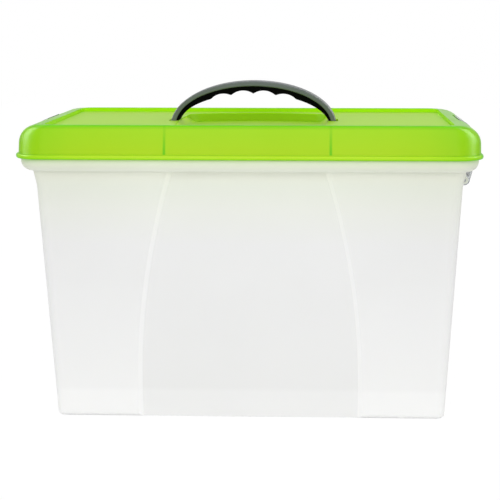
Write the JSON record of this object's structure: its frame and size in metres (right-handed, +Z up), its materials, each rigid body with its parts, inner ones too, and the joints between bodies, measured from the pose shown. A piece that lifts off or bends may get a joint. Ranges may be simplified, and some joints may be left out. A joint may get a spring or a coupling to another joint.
{
  "type": "portable file box",
  "caption": "Portable file box: frosted plastic tub, lime green lid with a fixed grey and black carry handle, clear latches at both ends",
  "frame": {"origin": "on the table, under the middle of the tub", "axes": "+X towards the right end, -Y the front the viewer faces, +Z up"},
  "size_m": [0.441, 0.237, 0.3244],
  "materials": {
    "tub_plastic": "frosted translucent white, satin outside",
    "lid_plastic": "translucent lime green, satin",
    "strap_plastic": "mid grey, fine grain",
    "grip_rubber": "soft black, matt",
    "latch_plastic": "clear, polished",
    "pin_steel": "drawn wire"
  },
  "bodies": {
    "tub": {"tub": "tub_plastic", "latch_pin_right": "pin_steel", "latch_pin_left": "pin_steel"},
    "lid": {"lid": "lid_plastic", "handle_strap": "strap_plastic", "handle_grip": "grip_rubber"},
    "latch_right": {"latch_right": "latch_plastic"},
    "latch_left": {"latch_left": "latch_plastic"}
  },
  "joints": [
    {"name": "lid_lift", "type": "slide", "parent": "tub", "child": "lid", "axis": [0, 0, 1], "range_m": [0, 0.04]},
    {"name": "latch_right_hinge", "type": "hinge", "parent": "tub", "child": "latch_right", "pos_m": [0.2104, 0, 0.2286], "axis": [0, 1, 0], "range_deg": [0, 150]},
    {"name": "latch_left_hinge", "type": "hinge", "parent": "tub", "child": "latch_left", "pos_m": [-0.2104, 0, 0.2286], "axis": [0, -1, 0], "range_deg": [0, 150]}
  ],
  "couplings": [
    {"joint": "latch_right_hinge", "follows": "lid_lift", "rad_per_m": 65.384},
    {"joint": "latch_left_hinge", "follows": "lid_lift", "rad_per_m": 65.384}
  ]
}
